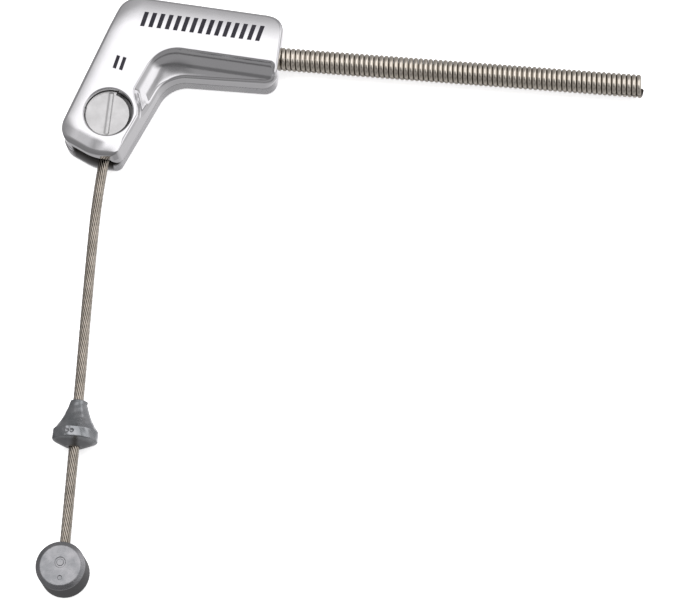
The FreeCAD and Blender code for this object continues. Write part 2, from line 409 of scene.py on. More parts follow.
def loop_distance(x, y, parts):
    """Distance to a closed outline, negative inside."""
    best = np.full(np.broadcast(x, y).shape, FAR)
    runs, arcs = parts
    for start, along, length in runs:
        dx, dy = x - start[0], y - start[1]
        t = dx * along[0] + dy * along[1]
        side = dx * along[1] - dy * along[0]
        best = np.where((t >= 0) & (t <= length) & (np.abs(side) < np.abs(best)), side, best)
    for centre, outward, spread, radius, turn in arcs:
        dx, dy = x - centre[0], y - centre[1]
        far = np.hypot(dx, dy)
        gap = turn * (far - radius)
        near = (dx * outward[0] + dy * outward[1] >= spread * far) & (np.abs(gap) < np.abs(best))
        best = np.where(near, gap, best)
    return best


HOUSING_LOOP = loop_parts(HOUSING_OUTLINE)
NOSE_LOOP = loop_parts(NOSE_OUTLINE)
COVER_LOOP = loop_parts(COVER_OUTLINE)
SCOOP_LOOP = loop_parts(SCOOP_OUTLINE)


def smooth(value):
    """0 to 1 with level ends."""
    value = np.clip(value, 0, 1)
    return value * value * (3 - 2 * value)


def fade(value, low, high):
    """0 up to low, 1 from high, smooth between them; low may be the larger of the two."""
    return smooth((value - low) / (high - low))


def line_depth(x, y, start, end):
    """How far a point is to the right of the line from start to end."""
    along = unit(np.array(end[:2]) - np.array(start[:2]))
    return (x - start[0]) * along[1] - (y - start[1]) * along[0]


def side_depths(x, y):
    """How far a point is inside the elbow's left side and its top side."""
    low_left, top_right, top_left = HOUSING_OUTLINE[0], HOUSING_OUTLINE[-2], HOUSING_OUTLINE[-1]
    return line_depth(x, y, low_left, top_left), line_depth(x, y, top_left, top_right)


def ramp(far, soft):
    """0 while far is below -soft, and far itself above soft, with a soft bend between them."""
    return np.clip(far + soft, 0, 2 * soft) ** 2 / (4 * soft) + np.maximum(far - soft, 0)


def front_height(x, y):
    """Height of the crowned front."""
    left, top = side_depths(x, y)
    fall = LEFT_DROP * np.clip(1 - left / LEFT_WIDTH, 0, FALL_LIMIT) ** 2
    fall = fall + TOP_DROP * np.clip(1 - top / TOP_WIDTH, 0, FALL_LIMIT) ** 2
    edge = loop_distance(x, y, NOSE_LOOP)
    sloped = fade(x, NOSE_LEVEL_X, NOSE_LEVEL_X - NOSE_LEVEL_WIDTH)
    fall = fall + NOSE_SLOPE * ramp(NOSE_WIDTH + edge, NOSE_SOFT) * sloped
    roll = NOSE_ROLL_LEVEL - (NOSE_ROLL_LEVEL - NOSE_ROLL) * sloped
    return FRONT_Z - fall - roll * ramp(NOSE_ROLL_WIDTH + edge, NOSE_ROLL_SOFT)


def scoop_field(x, y, z):
    """The hollow along the elbow's inner side, less the rippled boss round the button."""
    inward = -loop_distance(x, y, SCOOP_LOOP) + SCOOP_SHIFT
    across = SCOOP_R - inward
    down = SCOOP_R - (z - SCOOP_FLOOR_Z)
    hollow = np.minimum(np.maximum(across, down), 0) + np.hypot(np.maximum(across, 0), np.maximum(down, 0))
    hollow = rounded(hollow - SCOOP_R, SCOOP_END_Y - y, LIP_EDGE_R)
    hollow = rounded(hollow, x - SCOOP_END_X, SCOOP_END_R)
    boss = np.hypot(x, y) - BOSS_R - BOSS_DRAFT * (FRONT_Z - z)
    boss = boss + BOSS_RIPPLE * np.cos(2 * np.pi * (FRONT_Z - z) / BOSS_RIPPLE_PITCH)
    return rounded(hollow, -boss / math.hypot(1, BOSS_DRAFT), BOSS_FILLET_R)


def mouth_side(x, y):
    """Distance to the wedge that the wire sweeps, negative inside."""
    left = -MOUTH_LEFT - (x * math.cos(WIRE_SWING) - y * math.sin(WIRE_SWING))
    return np.maximum(x - MOUTH_RIGHT, left)


def nose_gap(x, wall, z):
    """Shallow gap under the nose, beside the mouth, that narrows to nothing."""
    left = np.clip((NOSE_GAP_END_X - x) / (NOSE_GAP_END_X - MOUTH_RIGHT), 0, 1)
    roof = z - SEAM_Z - (NOSE_GAP_Z - SEAM_Z) * left**NOSE_GAP_POWER
    return np.maximum(np.maximum(roof, -x), -NOSE_GAP_DEPTH - wall)


def socket_field(x, y, z):
    """The room for the conduit's root and for its collar."""
    far = np.hypot(y - CONDUIT_Y, z - CONDUIT_Z)
    socket = np.maximum(far - SOCKET_R, COLLAR_LOW[0] - x)
    half = (COLLAR_HIGH[0] - COLLAR_LOW[0]) / 2 + COLLAR_POCKET_END
    pocket = np.maximum(far - COLLAR_POCKET_R, np.abs(x - (COLLAR_LOW[0] + COLLAR_HIGH[0]) / 2) - half)
    return np.minimum(socket, pocket)


def channel_field(x, y, z):
    """The liner's channel: a straight entry, a bend, and a straight way to the conduit's root."""
    turn = math.pi - ENTRY_ANGLE
    dx, dy = x - BEND_END_X, y - (CONDUIT_Y + BEND_R)
    outward = (math.cos(ENTRY_ANGLE), math.sin(ENTRY_ANGLE))
    start_x = BEND_END_X - BEND_R * math.sin(turn)
    start_y = CONDUIT_Y + BEND_R * (1 - math.cos(turn))
    along = (x - start_x) * outward[0] + (y - start_y) * outward[1]
    entry = np.where(along > 0, (x - start_x) * outward[1] - (y - start_y) * outward[0], FAR)
    bend = np.where((dx <= 0) & (along <= 0), np.hypot(dx, dy) - BEND_R, FAR)
    exit_run = np.where((dx > 0) & (x < COLLAR_LOW[0]), y - CONDUIT_Y, FAR)
    aside = np.minimum(np.minimum(np.abs(entry), np.abs(bend)), np.abs(exit_run))
    return np.hypot(aside, z - CONDUIT_Z) - CHANNEL_R


def rivet_field(x, y, z):
    """The three rivets' holes, each with its sunk head on the back."""
    far = FAR
    for place_x, place_y in RIVET_PLACES:
        far = np.minimum(far, np.hypot(x - place_x, y - place_y))
    taper = RIVET_HEAD_R - (RIVET_HEAD_R - RIVET_SHANK_R) * z / RIVET_HEAD_DEPTH
    return np.maximum(far - np.maximum(taper, RIVET_SHANK_R), z - RIVET_TOP_Z)


def carrier_hollows(x, y, z):
    """The conduit's socket, the liner's channel and the rivets' holes."""
    return np.minimum(np.minimum(socket_field(x, y, z), channel_field(x, y, z)), rivet_field(x, y, z))


def housing_field(x, y, z):
    """The front half, with its crown, scoop, button's bore, mouth and channels."""
    left, top = side_depths(x, y)
    inner = fade(np.minimum(left, top), *INNER_EDGE_DEPTHS)
    edge_r = OUTER_EDGE_R + (INNER_EDGE_R - OUTER_EDGE_R) * inner
    edge_r = edge_r + (END_EDGE_R - edge_r) * fade(x, *END_EDGE_XS)
    edge_r = edge_r + (NOSE_EDGE_R - edge_r) * fade(y, *NOSE_EDGE_YS)
    scoop_r = LIP_EDGE_R + (SCOOP_RIM_R - LIP_EDGE_R) * fade(z, *SCOOP_RIM_ZS)
    overhang = END_OVERHANG * fade(z, *OVERHANG_ZS) * fade(x, *OVERHANG_XS)
    wall = loop_distance(x - overhang, y, HOUSING_LOOP)
    body = rounded(wall, z - front_height(x, y), edge_r)
    body = rounded(body, SEAM_Z - z, SEAM_EDGE_R)
    body = cut(body, scoop_field(x, y, z), scoop_r)
    body = cut(body, np.hypot(x, y) - BUTTON_BORE_R, BORE_EDGE_R)
    mouth = rounded(mouth_side(x, y), z - MOUTH_HIGH_Z, MOUTH_CORNER_R)
    gap = np.maximum(nose_gap(x, wall, z), y)
    body = cut(body, np.maximum(np.minimum(mouth, gap), y), SEAM_EDGE_R)
    return cut(body, carrier_hollows(x, y, z), SEAM_EDGE_R)


def cover_field(x, y, z):
    """The flat back half, with the floor of the mouth, the button's pocket and the channels."""
    wall = loop_distance(x, y, COVER_LOOP)
    opened = fade(mouth_side(x, y), *MOUTH_FLOOR_SIDES) * (y < 0)
    top_z = SEAM_Z + (MOUTH_LOW_Z - SEAM_Z) * opened
    body = rounded(wall, z - top_z, SEAM_BEVEL + (MOUTH_ROUND - SEAM_BEVEL) * opened)
    body = rounded(body, -z, BACK_EDGE_R)
    pocket = np.maximum(np.hypot(x, y) - POCKET_R, POCKET_Z - z)
    body = cut(body, pocket, SEAM_EDGE_R)
    return cut(body, carrier_hollows(x, y, z), SEAM_EDGE_R)


def carrier_shade_and_dull(x, y, z):
    """Painted shade with a rougher finish: 0 on the open outside of the carrier, up to 1 in its mouth, and
    less in its other hollows, its seams, across its scoop and along its nose's edge.
    """
    side = loop_distance(x, y, HOUSING_LOOP)
    wall = np.maximum(side, z - front_height(x, y))
    in_mouth = (mouth_side(x, y) < SKIN) & (z < MOUTH_HIGH_Z + SKIN) & (z > MOUTH_LOW_Z - MOUTH_ROUND)
    in_gap = (nose_gap(x, side, z) < SKIN) & (z > SEAM_Z - SKIN / 2) & (x < NOSE_GAP_END_X)
    in_mouth = (in_mouth | in_gap) & (y < 0)
    bore = np.abs(np.hypot(x, y) - BUTTON_BORE_R)
    near = np.minimum(bore, np.abs(carrier_hollows(x, y, z))) < BORE_SKIN
    at_seam = np.abs(z - SEAM_Z) < SEAM_EDGE_R
    mouth = fade(wall, *MOUTH_WALLS) * in_mouth
    hole = HOLE_SHADE * fade(wall, *HOLE_WALLS) * near * (z > SKIN)
    # painted shade across the middle stretch of the scoop
    scoop = SCOOP_SHADE * fade(z, *SCOOP_SHADE_ZS) * fade(x, *SCOOP_SHADE_FROM_XS) * fade(x, *SCOOP_SHADE_TO_XS)
    scoop = scoop * fade(wall, *SCOOP_WALLS) * (z > LIP_Z)
    nose = loop_distance(x, y, NOSE_LOOP)
    # a painted dark line of shade along the nose's edge
    line = LINE_SHADE * fade(nose, *LINE_INNER_WALLS) * fade(nose, *LINE_OUTER_WALLS) * (z > MOUTH_HIGH_Z)
    # painted shade in the seam between the front and the cover
    seam = SEAM_SHADE * fade(wall, *SEAM_WALLS) * at_seam
    return np.maximum.reduce([mouth, hole, scoop, line, seam])


# Painted shade, with a rougher finish, growing down the button below its face, in its bore
def button_shade_and_dull(x, y, z):
    return fade(BUTTON_TOP_Z - z, *BUTTON_SHADE_DEPTHS)


# Painted shade, with a rougher finish, on the cone's shallow underside
def cone_shade_and_dull(x, y, z):
    return CONE_SHADE * fade(CONE_TOP_Y - y - CONE_FLARE - CONE_BAND, *CONE_SHADE_DEPTHS)


# Painted shade, with a rougher finish, darker down the barrel's sides away from its top face
def barrel_shade_and_dull(x, y, z):
    return fade(BARREL_HIGH[2] - z, *BARREL_SHADE_DEPTHS)


def button_field(x, y, z):
    """A face with a crescent cut and a low rib, on a wider flange, with a hole for the wire."""
    far = np.hypot(x, y)
    shoulder = BUTTON_SHOULDER * fade(BUTTON_TOP_Z - z, *SHOULDER_DEPTHS)
    face = rounded(far - BUTTON_R - shoulder, z - BUTTON_TOP_Z, HOLE_EDGE_R)
    off = np.hypot(x - CRESCENT_CENTRE[0], y - CRESCENT_CENTRE[1])
    past_first = x * math.sin(CLOSED_FROM) - y * math.cos(CLOSED_FROM)
    past_last = y * math.cos(CLOSED_TO) - x * math.sin(CLOSED_TO)
    gap = np.minimum(off - CRESCENT_R, np.maximum(past_first, past_last))
    gap_depth = GAP_LEFT_DEPTH + (GAP_RIGHT_DEPTH - GAP_LEFT_DEPTH) * fade(x, *GAP_DEPTH_XS)
    face = rounded(face, np.minimum(gap, z - BUTTON_TOP_Z + gap_depth), SEAM_EDGE_R)
    from_end = RIB_LENGTH / 2 - np.abs(y)
    height = RIB_RISE * fade(x, *RIB_SLOPE_XS) * fade(from_end, 0, RIB_END)
    rib = rounded(x - RIB_WIDTH / 2, -from_end, RIB_EDGE_R)
    rib = rounded(rib, np.maximum(z - BUTTON_TOP_Z - height, BUTTON_TOP_Z - RIB_ROOT - z), RIB_EDGE_R)
    rib = np.maximum(rib, -RIB_WIDTH - x)
    flange = rounded(far - FLANGE_R, z - FLANGE_TOP_Z, HOLE_EDGE_R)
    body = rounded(np.minimum(np.minimum(face, rib), flange), BUTTON_LOW[2] - z, HOLE_EDGE_R)
    groove = np.abs(x - RIB_WIDTH / 2 - GROOVE_HALF) - GROOVE_HALF
    groove = np.maximum(groove, BUTTON_TOP_Z - GROOVE_DEPTH - z)
    body = cut(body, np.maximum(groove, RIB_END - from_end), GROOVE_R)
    hole = np.maximum(np.hypot(x, z - WIRE_ROUTE[0][2]) - WIRE_HOLE_R, y - WIRE_ROUTE[0][1])
    return cut(body, hole, SEAM_EDGE_R)


def cone_field(x, y, z):
    """Neck, flare, rim's band and shallow underside, with a gate nub, a parting fin and two dimples."""
    before, after = np.array(WIRE_ROUTE[3]), np.array(WIRE_ROUTE[4])
    down = unit(after - before)
    top = before + down * (before[1] - CONE_TOP_Y) / abs(down[1])
    dx, dy, dz = x - top[0], y - top[1], z - top[2]
    deep = dx * down[0] + dy * down[1] + dz * down[2]
    side_x, side_z = dx - deep * down[0], dz - deep * down[2]
    far = np.sqrt(side_x**2 + (dy - deep * down[1]) ** 2 + side_z**2)
    t = np.clip(deep / CONE_FLARE, 0, 1)
    flare = (CONE_RIM_R - CONE_NECK_R) * ((1 - CONE_CURVE) * t + CONE_CURVE * t**3)
    flare = far - CONE_NECK_R - flare
    band_end = CONE_FLARE + CONE_BAND
    rise = (CONE_HEIGHT - band_end) / (CONE_RIM_R - CONE_UNDER_R)
    under = (deep - band_end - (CONE_RIM_R - far) * rise) * CONE_UNDER_SCALE
    under = np.maximum(under, deep - CONE_HEIGHT)
    waves = CAST_WAVE * np.sin(5 * x + 3 * z) * np.sin(4 * y + 2 * x) * (deep > CAST_WAVE_START)
    body = rounded(flare * CONE_SIDE_SCALE + waves, under, CONE_EDGE_R)
    body = rounded(body, -deep, CONE_TOP_EDGE_R)
    nub = np.sqrt((side_x - CONE_NECK_R) ** 2 + (deep - NUB_DEPTH) ** 2 + side_z**2) - NUB_R
    fin = np.maximum(flare - FIN_RISE, np.abs(side_z) - FIN_HALF)
    fin = np.maximum(fin, np.maximum(-side_x, np.abs(deep - FIN_MIDDLE) - FIN_REACH))
    body = np.minimum(body, np.minimum(nub, fin))
    for side in DIMPLE_SIDES:
        out = side_z - CONE_RIM_R - DIMPLE_OUT
        dimple = np.sqrt((side_x - side) ** 2 + (deep - DIMPLE_DEPTH) ** 2 + out**2) - DIMPLE_R
        body = cut(body, dimple, DIMPLE_EDGE_R)
    return cut(body, far - WIRE_HOLE_R, CONE_HOLE_EDGE_R)


def barrel_field(x, y, z):
    """A short drum with a flat face, a sloped rim and a generic stamp: a ring over a dot."""
    dx, dy = x - WIRE_ROUTE[-1][0], y - WIRE_ROUTE[-1][1]
    far = np.hypot(dx, dy)
    top, low = BARREL_HIGH[2], BARREL_LOW[2]
    body = rounded(far - BARREL_R, np.maximum(z - top, low - z), BARREL_EDGE_R)
    for end in (z - top, low - z):
        rim = (end + (far - BARREL_FACE_R) * BARREL_SLOPE) * BARREL_RIM_SCALE
        body = rounded(body, rim, BARREL_RIM_R)
    ring = np.abs(np.hypot(dx - STAMP_RING[0], dy - STAMP_RING[1]) - STAMP_RING_R) - STAMP_LINE_HALF
    dot = np.hypot(dx - STAMP_DOT[0], dy - STAMP_DOT[1]) - STAMP_DOT_R
    body = cut(body, np.maximum(np.minimum(ring, dot), top - STAMP_DEPTH - z), STAMP_EDGE_R)
    hole = np.hypot(dx, z - WIRE_ROUTE[-1][2] - BARREL_WIRE_SLOPE * dy) - WIRE_HOLE_R
    return cut(body, np.maximum(hole, -dy), SEAM_EDGE_R)


def gradient(field, points, reach=NORMAL_REACH / 2):
    """How a field changes along each axis, at each point."""
    slope = np.empty_like(points)
    for axis in range(3):
        step = np.zeros(3)
        step[axis] = reach
        slope[:, axis] = (field(*(points + step).T) - field(*(points - step).T)) / (2 * reach)
    return slope


def field_mesh(field, low, high, step):
    """Points, quads and normals of the surface where a field is zero, between two corners."""
    axes = [np.arange(a, b + step, step) for a, b in zip(low, high)]
    values = field(axes[0][:, None, None], axes[1][None, :, None], axes[2][None, None, :])
    shape = np.array(values.shape)
    cells = shape - 1
    crossings, around, flips = [], [], []
    for axis in range(3):
        b, c = (axis + 1) % 3, (axis + 2) % 3
        start = values[tuple(slice(0, -1) if k == axis else slice(None) for k in range(3))]
        end = values[tuple(slice(1, None) if k == axis else slice(None) for k in range(3))]
        index = np.argwhere((start < 0) != (end < 0))
        off_b, off_c = index[:, b], index[:, c]
        index = index[(off_b > 0) & (off_b < cells[b]) & (off_c > 0) & (off_c < cells[c])]
        first, last = start[tuple(index.T)], end[tuple(index.T)]
        spot = index.astype(float)
        spot[:, axis] += first / (first - last)
        quad = []
        for shift_b, shift_c in ((-1, -1), (0, -1), (0, 0), (-1, 0)):
            cell = index.copy()
            cell[:, b] += shift_b
            cell[:, c] += shift_c
            quad.append(np.ravel_multi_index(cell.T, cells))
        crossings.append(spot)
        around.append(np.stack(quad, 1))
        flips.append(first >= 0)
    crossings, around, flips = np.concatenate(crossings), np.concatenate(around), np.concatenate(flips)
    _, corner = np.unique(around, return_inverse=True)
    corner = corner.reshape(around.shape)
    count = np.bincount(corner.ravel())
    sums = [np.bincount(corner.ravel(), np.repeat(crossings[:, k], 4)) / count for k in range(3)]
    points = np.stack(sums, 1) * step + np.array(low)
    for _ in range(SETTLE_ROUNDS):
        slope = gradient(field, points)
        size = np.maximum((slope**2).sum(1), LEAST_SLOPE)
        move = slope * (field(*points.T) / size)[:, None]
        points -= np.clip(move, -0.5 * step, 0.5 * step)
    corner[flips] = corner[flips][:, ::-1]
    slope = gradient(field, points, NORMAL_REACH)
    slope /= np.maximum(np.linalg.norm(slope, axis=1), 1e-9)[:, None]
    return points, corner, slope


# ---------------------------------------------------------------- materials

PATCH_RANGE, WORN_RANGE = (0.3, 0.7), (0.7, 1.3)  # of the noises that mix the colours and the roughnesses
FINE_RATIO = 9
NOISE_ROUGHNESS = 0.55
DULL_ROUGHNESS = 0.55
LATHE_SCALE, LATHE_HEIGHT = 5200, 0.00001


def node(tree, kind, **values):
    """A shader node. Names with a capital, or "in" with a number, are its inputs; others are settings."""
    made = tree.nodes.new("ShaderNode" + kind)
    for key, value in values.items():
        if key[0].isupper():
            socket = made.inputs[key.replace("_", " ")]
        elif key[:2] == "in" and key[2:].isdigit():
            socket = made.inputs[int(key[2:])]
        else:
            setattr(made, key, value)
            continue
        if isinstance(value, bpy.types.NodeSocket):
            tree.links.new(value, socket)
        else:
            socket.default_value = value
    return made


def noise(tree, scale, detail=4.0, stretch=(1, 1, 1)):
    """Noise in the object's own frame, with features of one over scale metres."""
    place = node(tree, "TexCoord").outputs["Object"]
    mapped = node(tree, "Mapping", Vector=place, Scale=stretch).outputs["Vector"]
    made = node(tree, "TexNoise", Vector=mapped, Scale=scale, Detail=detail, Roughness=NOISE_ROUGHNESS)
    return made.outputs["Fac"]


def ranged(tree, value, low, high, out_low, out_high):
    return node(tree, "MapRange", Value=value, in1=low, in2=high, in3=out_low, in4=out_high).outputs["Result"]


def soft_range(tree, value, low, high):
    return node(tree, "MapRange", interpolation_type="SMOOTHSTEP", Value=value, in1=low, in2=high).outputs[0]


def mixed(tree, factor, a, b):
    blend = node(tree, "Mix", data_type="RGBA", in0=factor)
    for socket, value in ((blend.inputs[6], a), (blend.inputs[7], b)):
        if isinstance(value, bpy.types.NodeSocket):
            tree.links.new(value, socket)
        else:
            socket.default_value = (*value, 1)
    return blend.outputs[2]


def new_material(name):
    material = bpy.data.materials.new(name)
    material.use_nodes = True
    tree = material.node_tree
    return material, tree, tree.nodes["Principled BSDF"]


def rings(tree, centre, scale):
    """Noise in circles round an upright line through a centre, in the object's own frame."""
    place = node(tree, "TexCoord").outputs["Object"]
    flat = node(tree, "VectorMath", operation="MULTIPLY", in0=place, in1=(1, 1, 0)).outputs[0]
    far = node(tree, "VectorMath", operation="DISTANCE", in0=flat, in1=centre).outputs["Value"]
    line = node(tree, "CombineXYZ", X=far).outputs[0]
    return node(tree, "TexNoise", Vector=line, Scale=scale, Detail=3.0).outputs["Fac"]


def metal(name, light, dark, gloss, spots, bumps, metallic=1.0, turned=None, shade_and_dull=None):
    """Metal that drifts between two colours and two roughnesses over patches of one over spots metres.

    bumps is a list of (scale, height in metres, stretch), turned is the centre of lathe marks, if any, and
    the last argument is the dark colour of the painted shade that a point attribute mixes into hollows and
    crevices, where it also makes the metal rougher.
    """
    material, tree, surface = new_material(name)
    patch = noise(tree, spots)
    fine = noise(tree, spots * FINE_RATIO, detail=2)
    colour = mixed(tree, ranged(tree, patch, *PATCH_RANGE, 0, 1), light, dark)
    worn = node(tree, "Math", operation="ADD", in0=patch, in1=fine).outputs[0]
    rough = ranged(tree, worn, *WORN_RANGE, *gloss)
    if shade_and_dull is not None:
        depth = node(tree, "Attribute", attribute_name="shade_and_dull").outputs["Fac"]
        # painted shade: the colour darkens where the point attribute says shade falls
        colour = mixed(tree, depth, colour, shade_and_dull)
        least = ranged(tree, depth, 0, 1, 0, DULL_ROUGHNESS)
        rough = node(tree, "Math", operation="MAXIMUM", in0=rough, in1=least).outputs[0]
    tree.links.new(colour, surface.inputs["Base Color"])
    tree.links.new(rough, surface.inputs["Roughness"])
    surface.inputs["Metallic"].default_value = metallic
    reliefs = [(noise(tree, scale, detail=3, stretch=grain), height) for scale, height, grain in bumps]
    if turned is not None:
        reliefs.append((rings(tree, turned, LATHE_SCALE), LATHE_HEIGHT))
    for height_map, height in reliefs:
        relief = node(tree, "Bump", Height=height_map, Distance=height, Strength=1)
        if surface.inputs["Normal"].links:
            tree.links.new(surface.inputs["Normal"].links[0].from_socket, relief.inputs["Normal"])
        tree.links.new(relief.outputs["Normal"], surface.inputs["Normal"])
    return material


# Each metal's last colour is painted shade for its hollows, crevices and undersides; on the coil it stands
# for grime as well.
POLISHED = metal(
    "polished_alloy", (0.92, 0.92, 0.92), (0.89, 0.89, 0.9), (0.07, 0.12), 260,
    [(700, 0.000006, (1, 1, 1)), (5200, 0.0000014, (1, 0.25, 1))], shade_and_dull=(0.11, 0.11, 0.11),
)
SATIN = metal(
    "satin_alloy", (0.8, 0.8, 0.8), (0.72, 0.72, 0.73), (0.22, 0.34), 300,
    [(2600, 0.000004, (0.3, 1, 1))], shade_and_dull=(0.1, 0.095, 0.09),
)
COIL_STEEL = metal(
    "coil_steel", (0.94, 0.87, 0.76), (0.86, 0.79, 0.68), (0.09, 0.16), 420,
    [(5200, 0.000003, (1, 1, 1))], shade_and_dull=(0.07, 0.06, 0.05),
)
WIRE_STEEL = metal(
    "wire_steel", (0.66, 0.6, 0.52), (0.46, 0.42, 0.36), (0.1, 0.18), 500,
    [(5200, 0.000002, (1, 1, 1))], shade_and_dull=(0.05, 0.045, 0.04),
)
CONE_ZINC = metal(
    "cone_zinc", (0.52, 0.53, 0.54), (0.34, 0.36, 0.37), (0.14, 0.3), 650,
    [(900, 0.00002, (1, 1, 1)), (3400, 0.00001, (1, 1, 1))], shade_and_dull=(0.16, 0.16, 0.16),
)
BARREL_ZINC = metal(
    "barrel_zinc", (0.46, 0.46, 0.47), (0.32, 0.33, 0.34), (0.2, 0.36), 650,
    [(1300, 0.00002, (1, 1, 1)), (4200, 0.00001, (1, 1, 1))],
    turned=(WIRE_ROUTE[-1][0] * MM, WIRE_ROUTE[-1][1] * MM, 0), shade_and_dull=(0.15, 0.15, 0.15),
)
BUTTON_ZINC = metal(
    "button_zinc", (0.74, 0.74, 0.73), (0.66, 0.66, 0.65), (0.3, 0.42), 480,
    [(800, 0.000014, (1, 1, 1)), (2400, 0.000006, (0.5, 1, 1))], shade_and_dull=(0.26, 0.26, 0.26),
)
RIVET_STEEL = metal(
    "rivet_steel", (0.62, 0.62, 0.63), (0.5, 0.5, 0.51), (0.25, 0.4), 600,
    [(3000, 0.000006, (1, 1, 1))],
)
COLLAR_BRASS = metal(
    "collar_brass", (0.72, 0.58, 0.33), (0.6, 0.47, 0.25), (0.25, 0.4), 600,
    [(3000, 0.000004, (0.1, 1, 1))],
)
LINER_NYLON = metal(
    "liner_nylon", (0.85, 0.84, 0.79), (0.8, 0.78, 0.72), (0.35, 0.45), 600,
    [(2000, 0.000004, (1, 1, 1))], metallic=0.0,
)
INK = metal(
    "ink", (0.018, 0.017, 0.024), (0.035, 0.033, 0.042), (0.5, 0.6), 900,
    [(4000, 0.000004, (1, 1, 1))], metallic=0.0,
)
INK.node_tree.nodes["Principled BSDF"].inputs["Specular IOR Level"].default_value = 0.25


# ---------------------------------------------------------------- cords


def route_line(name, route):
    """The smooth line of a route, as its own curve object gives it, in metres."""
    data = bpy.data.curves.new(name, "CURVE")
    data.dimensions = "3D"
    spline = data.splines.new("NURBS")
    spline.points.add(len(route) - 1)
    for point, place in zip(spline.points, route):
        point.co = (*(Vector(place) * MM), 1)
    spline.order_u = 3
    spline.use_endpoint_u = True
    spline.resolution_u = 24
    holder = bpy.data.objects.new(name, data)
    bpy.context.scene.collection.objects.link(holder)
    bpy.context.view_layer.update()
    mesh = bpy.data.meshes.new_from_object(holder.evaluated_get(bpy.context.evaluated_depsgraph_get()))
    line = np.array([v.co for v in mesh.vertices], float)
    bpy.data.objects.remove(holder)
    return line


def resampled(line, step):
    """Points a step apart along a line, and how far along each one is."""
    far = np.concatenate([[0], np.cumsum(np.linalg.norm(np.diff(line, axis=0), axis=1))])
    places = np.linspace(0, far[-1], int(far[-1] / step) + 1)
    return np.stack([np.interp(places, far, line[:, k]) for k in range(3)], 1), places


def helix(line, radius, angle):
    """A line that winds round another at a radius, by the angle given for each of its points."""
    along = np.gradient(line, axis=0)
    along /= np.linalg.norm(along, axis=1)[:, None]
    across = np.cross((0.0, 0.0, 1.0), along)
    across /= np.linalg.norm(across, axis=1)[:, None]
    over = np.cross(along, across)
    return line + radius * (across * np.cos(angle)[:, None] + over * np.sin(angle)[:, None])


def crevices(points, centre, outer, reach):
    """Painted shade, partly standing for grime, in the gaps of something wound: 0 on its outside, 1 well on
    the way to reach below its outer radius.
    """
    far = np.full(len(points), FAR)
    for start in range(0, len(points), CREVICE_BLOCK):
        block = slice(start, start + CREVICE_BLOCK)
        gaps = points[block, None, :] - centre[None, ::2, :]
        far[block] = np.sqrt((gaps**2).sum(2).min(1))
    return fade((outer - far) / reach, *CREVICE_SHARES)


def link_wire_piece():
    """Nineteen wires: one straight, six round it and twelve outside, laid left-handed."""
    centre, places = resampled(route_line("link_wire_route", WIRE_ROUTE) / MM, WIRE_STEP)
    parts = [tube(centre, STRAND_R, WIRE_SIDES)]
    for count, radius in ((6, 2 * STRAND_R), (12, 4 * STRAND_R)):
        for strand in range(count):
            angle = 2 * np.pi * (strand / count - places / STRAND_LAY)
            parts.append(tube(helix(centre, radius, angle), STRAND_R, STRAND_SIDES))
    points, faces = joined(parts)
    # the gaps between strands get painted shade
    depth = crevices(points, centre, WIRE_R, CREVICE_REACH)
    piece = mesh_piece("link_wire_strands", points, faces, WIRE_STEEL, depth=depth)
    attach(piece, "link")
    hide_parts("link_wire")
    return piece, centre


def conduit_piece():
    """One round wire wound close, with its far end tucked away at the bottom of the last turn."""
    step = COIL_PITCH / COIL_TURN_STEPS
    centre, places = resampled(route_line("conduit_route", CONDUIT_ROUTE) / MM, step)
    keep = (places >= COIL_WIRE_R) & (places <= places[-1] - COIL_WIRE_R)
    coil_r = (CONDUIT_HIGH[2] - CONDUIT_LOW[2]) / 2 - COIL_WIRE_R
    last = places[keep][-1]
    angle = 2 * np.pi * (places - last) / COIL_PITCH - np.pi / 2
    points, faces = tube(helix(centre, coil_r, angle)[keep], COIL_WIRE_R, COIL_SIDES)
    # the gaps between turns get painted shade and grime
    depth = crevices(points, centre, coil_r + COIL_WIRE_R, COIL_WIRE_R)
    piece = mesh_piece("conduit_winding", points, faces, COIL_STEEL, depth=depth)
    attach(piece, "carrier")
    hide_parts("conduit_coil")
    return piece, centre


# ---------------------------------------------------------------- carrier and what turns in it


def field_piece(name, field, replaced, body, material, grid, shade_and_dull):
    """A piece meshed from its field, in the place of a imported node."""
    low, high = node_box(replaced)
    points, faces, normals = field_mesh(field, low - GRID_MARGIN, high + GRID_MARGIN, grid)
    # the given function sets each point's painted shade and rougher finish
    piece = mesh_piece(name, points, faces, material, normals=normals, depth=shade_and_dull(*points.T))
    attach(piece, body)
    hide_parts(replaced)
    return piece


def slanted_bar(low_left, low_right, top_left, top_right):
    """A printed bar between four places on the front, following its crown."""
    across, up = np.meshgrid(np.linspace(0, 1, BAR_COLUMNS), np.linspace(0, 1, BAR_ROWS))
    across, up = across.ravel()[:, None], up.ravel()[:, None]
    low = np.array(low_left) * (1 - across) + np.array(low_right) * across
    top = np.array(top_left) * (1 - across) + np.array(top_right) * across
    flat = low * (1 - up) + top * up
    height = front_height(flat[:, 0], flat[:, 1]) + MARK_LIFT
    faces = []
    for row in range(BAR_ROWS - 1):
        for first in range(row * BAR_COLUMNS, (row + 1) * BAR_COLUMNS - 1):
            faces.append((first, first + 1, first + 1 + BAR_COLUMNS, first + BAR_COLUMNS))
    return np.column_stack([flat, height]), faces


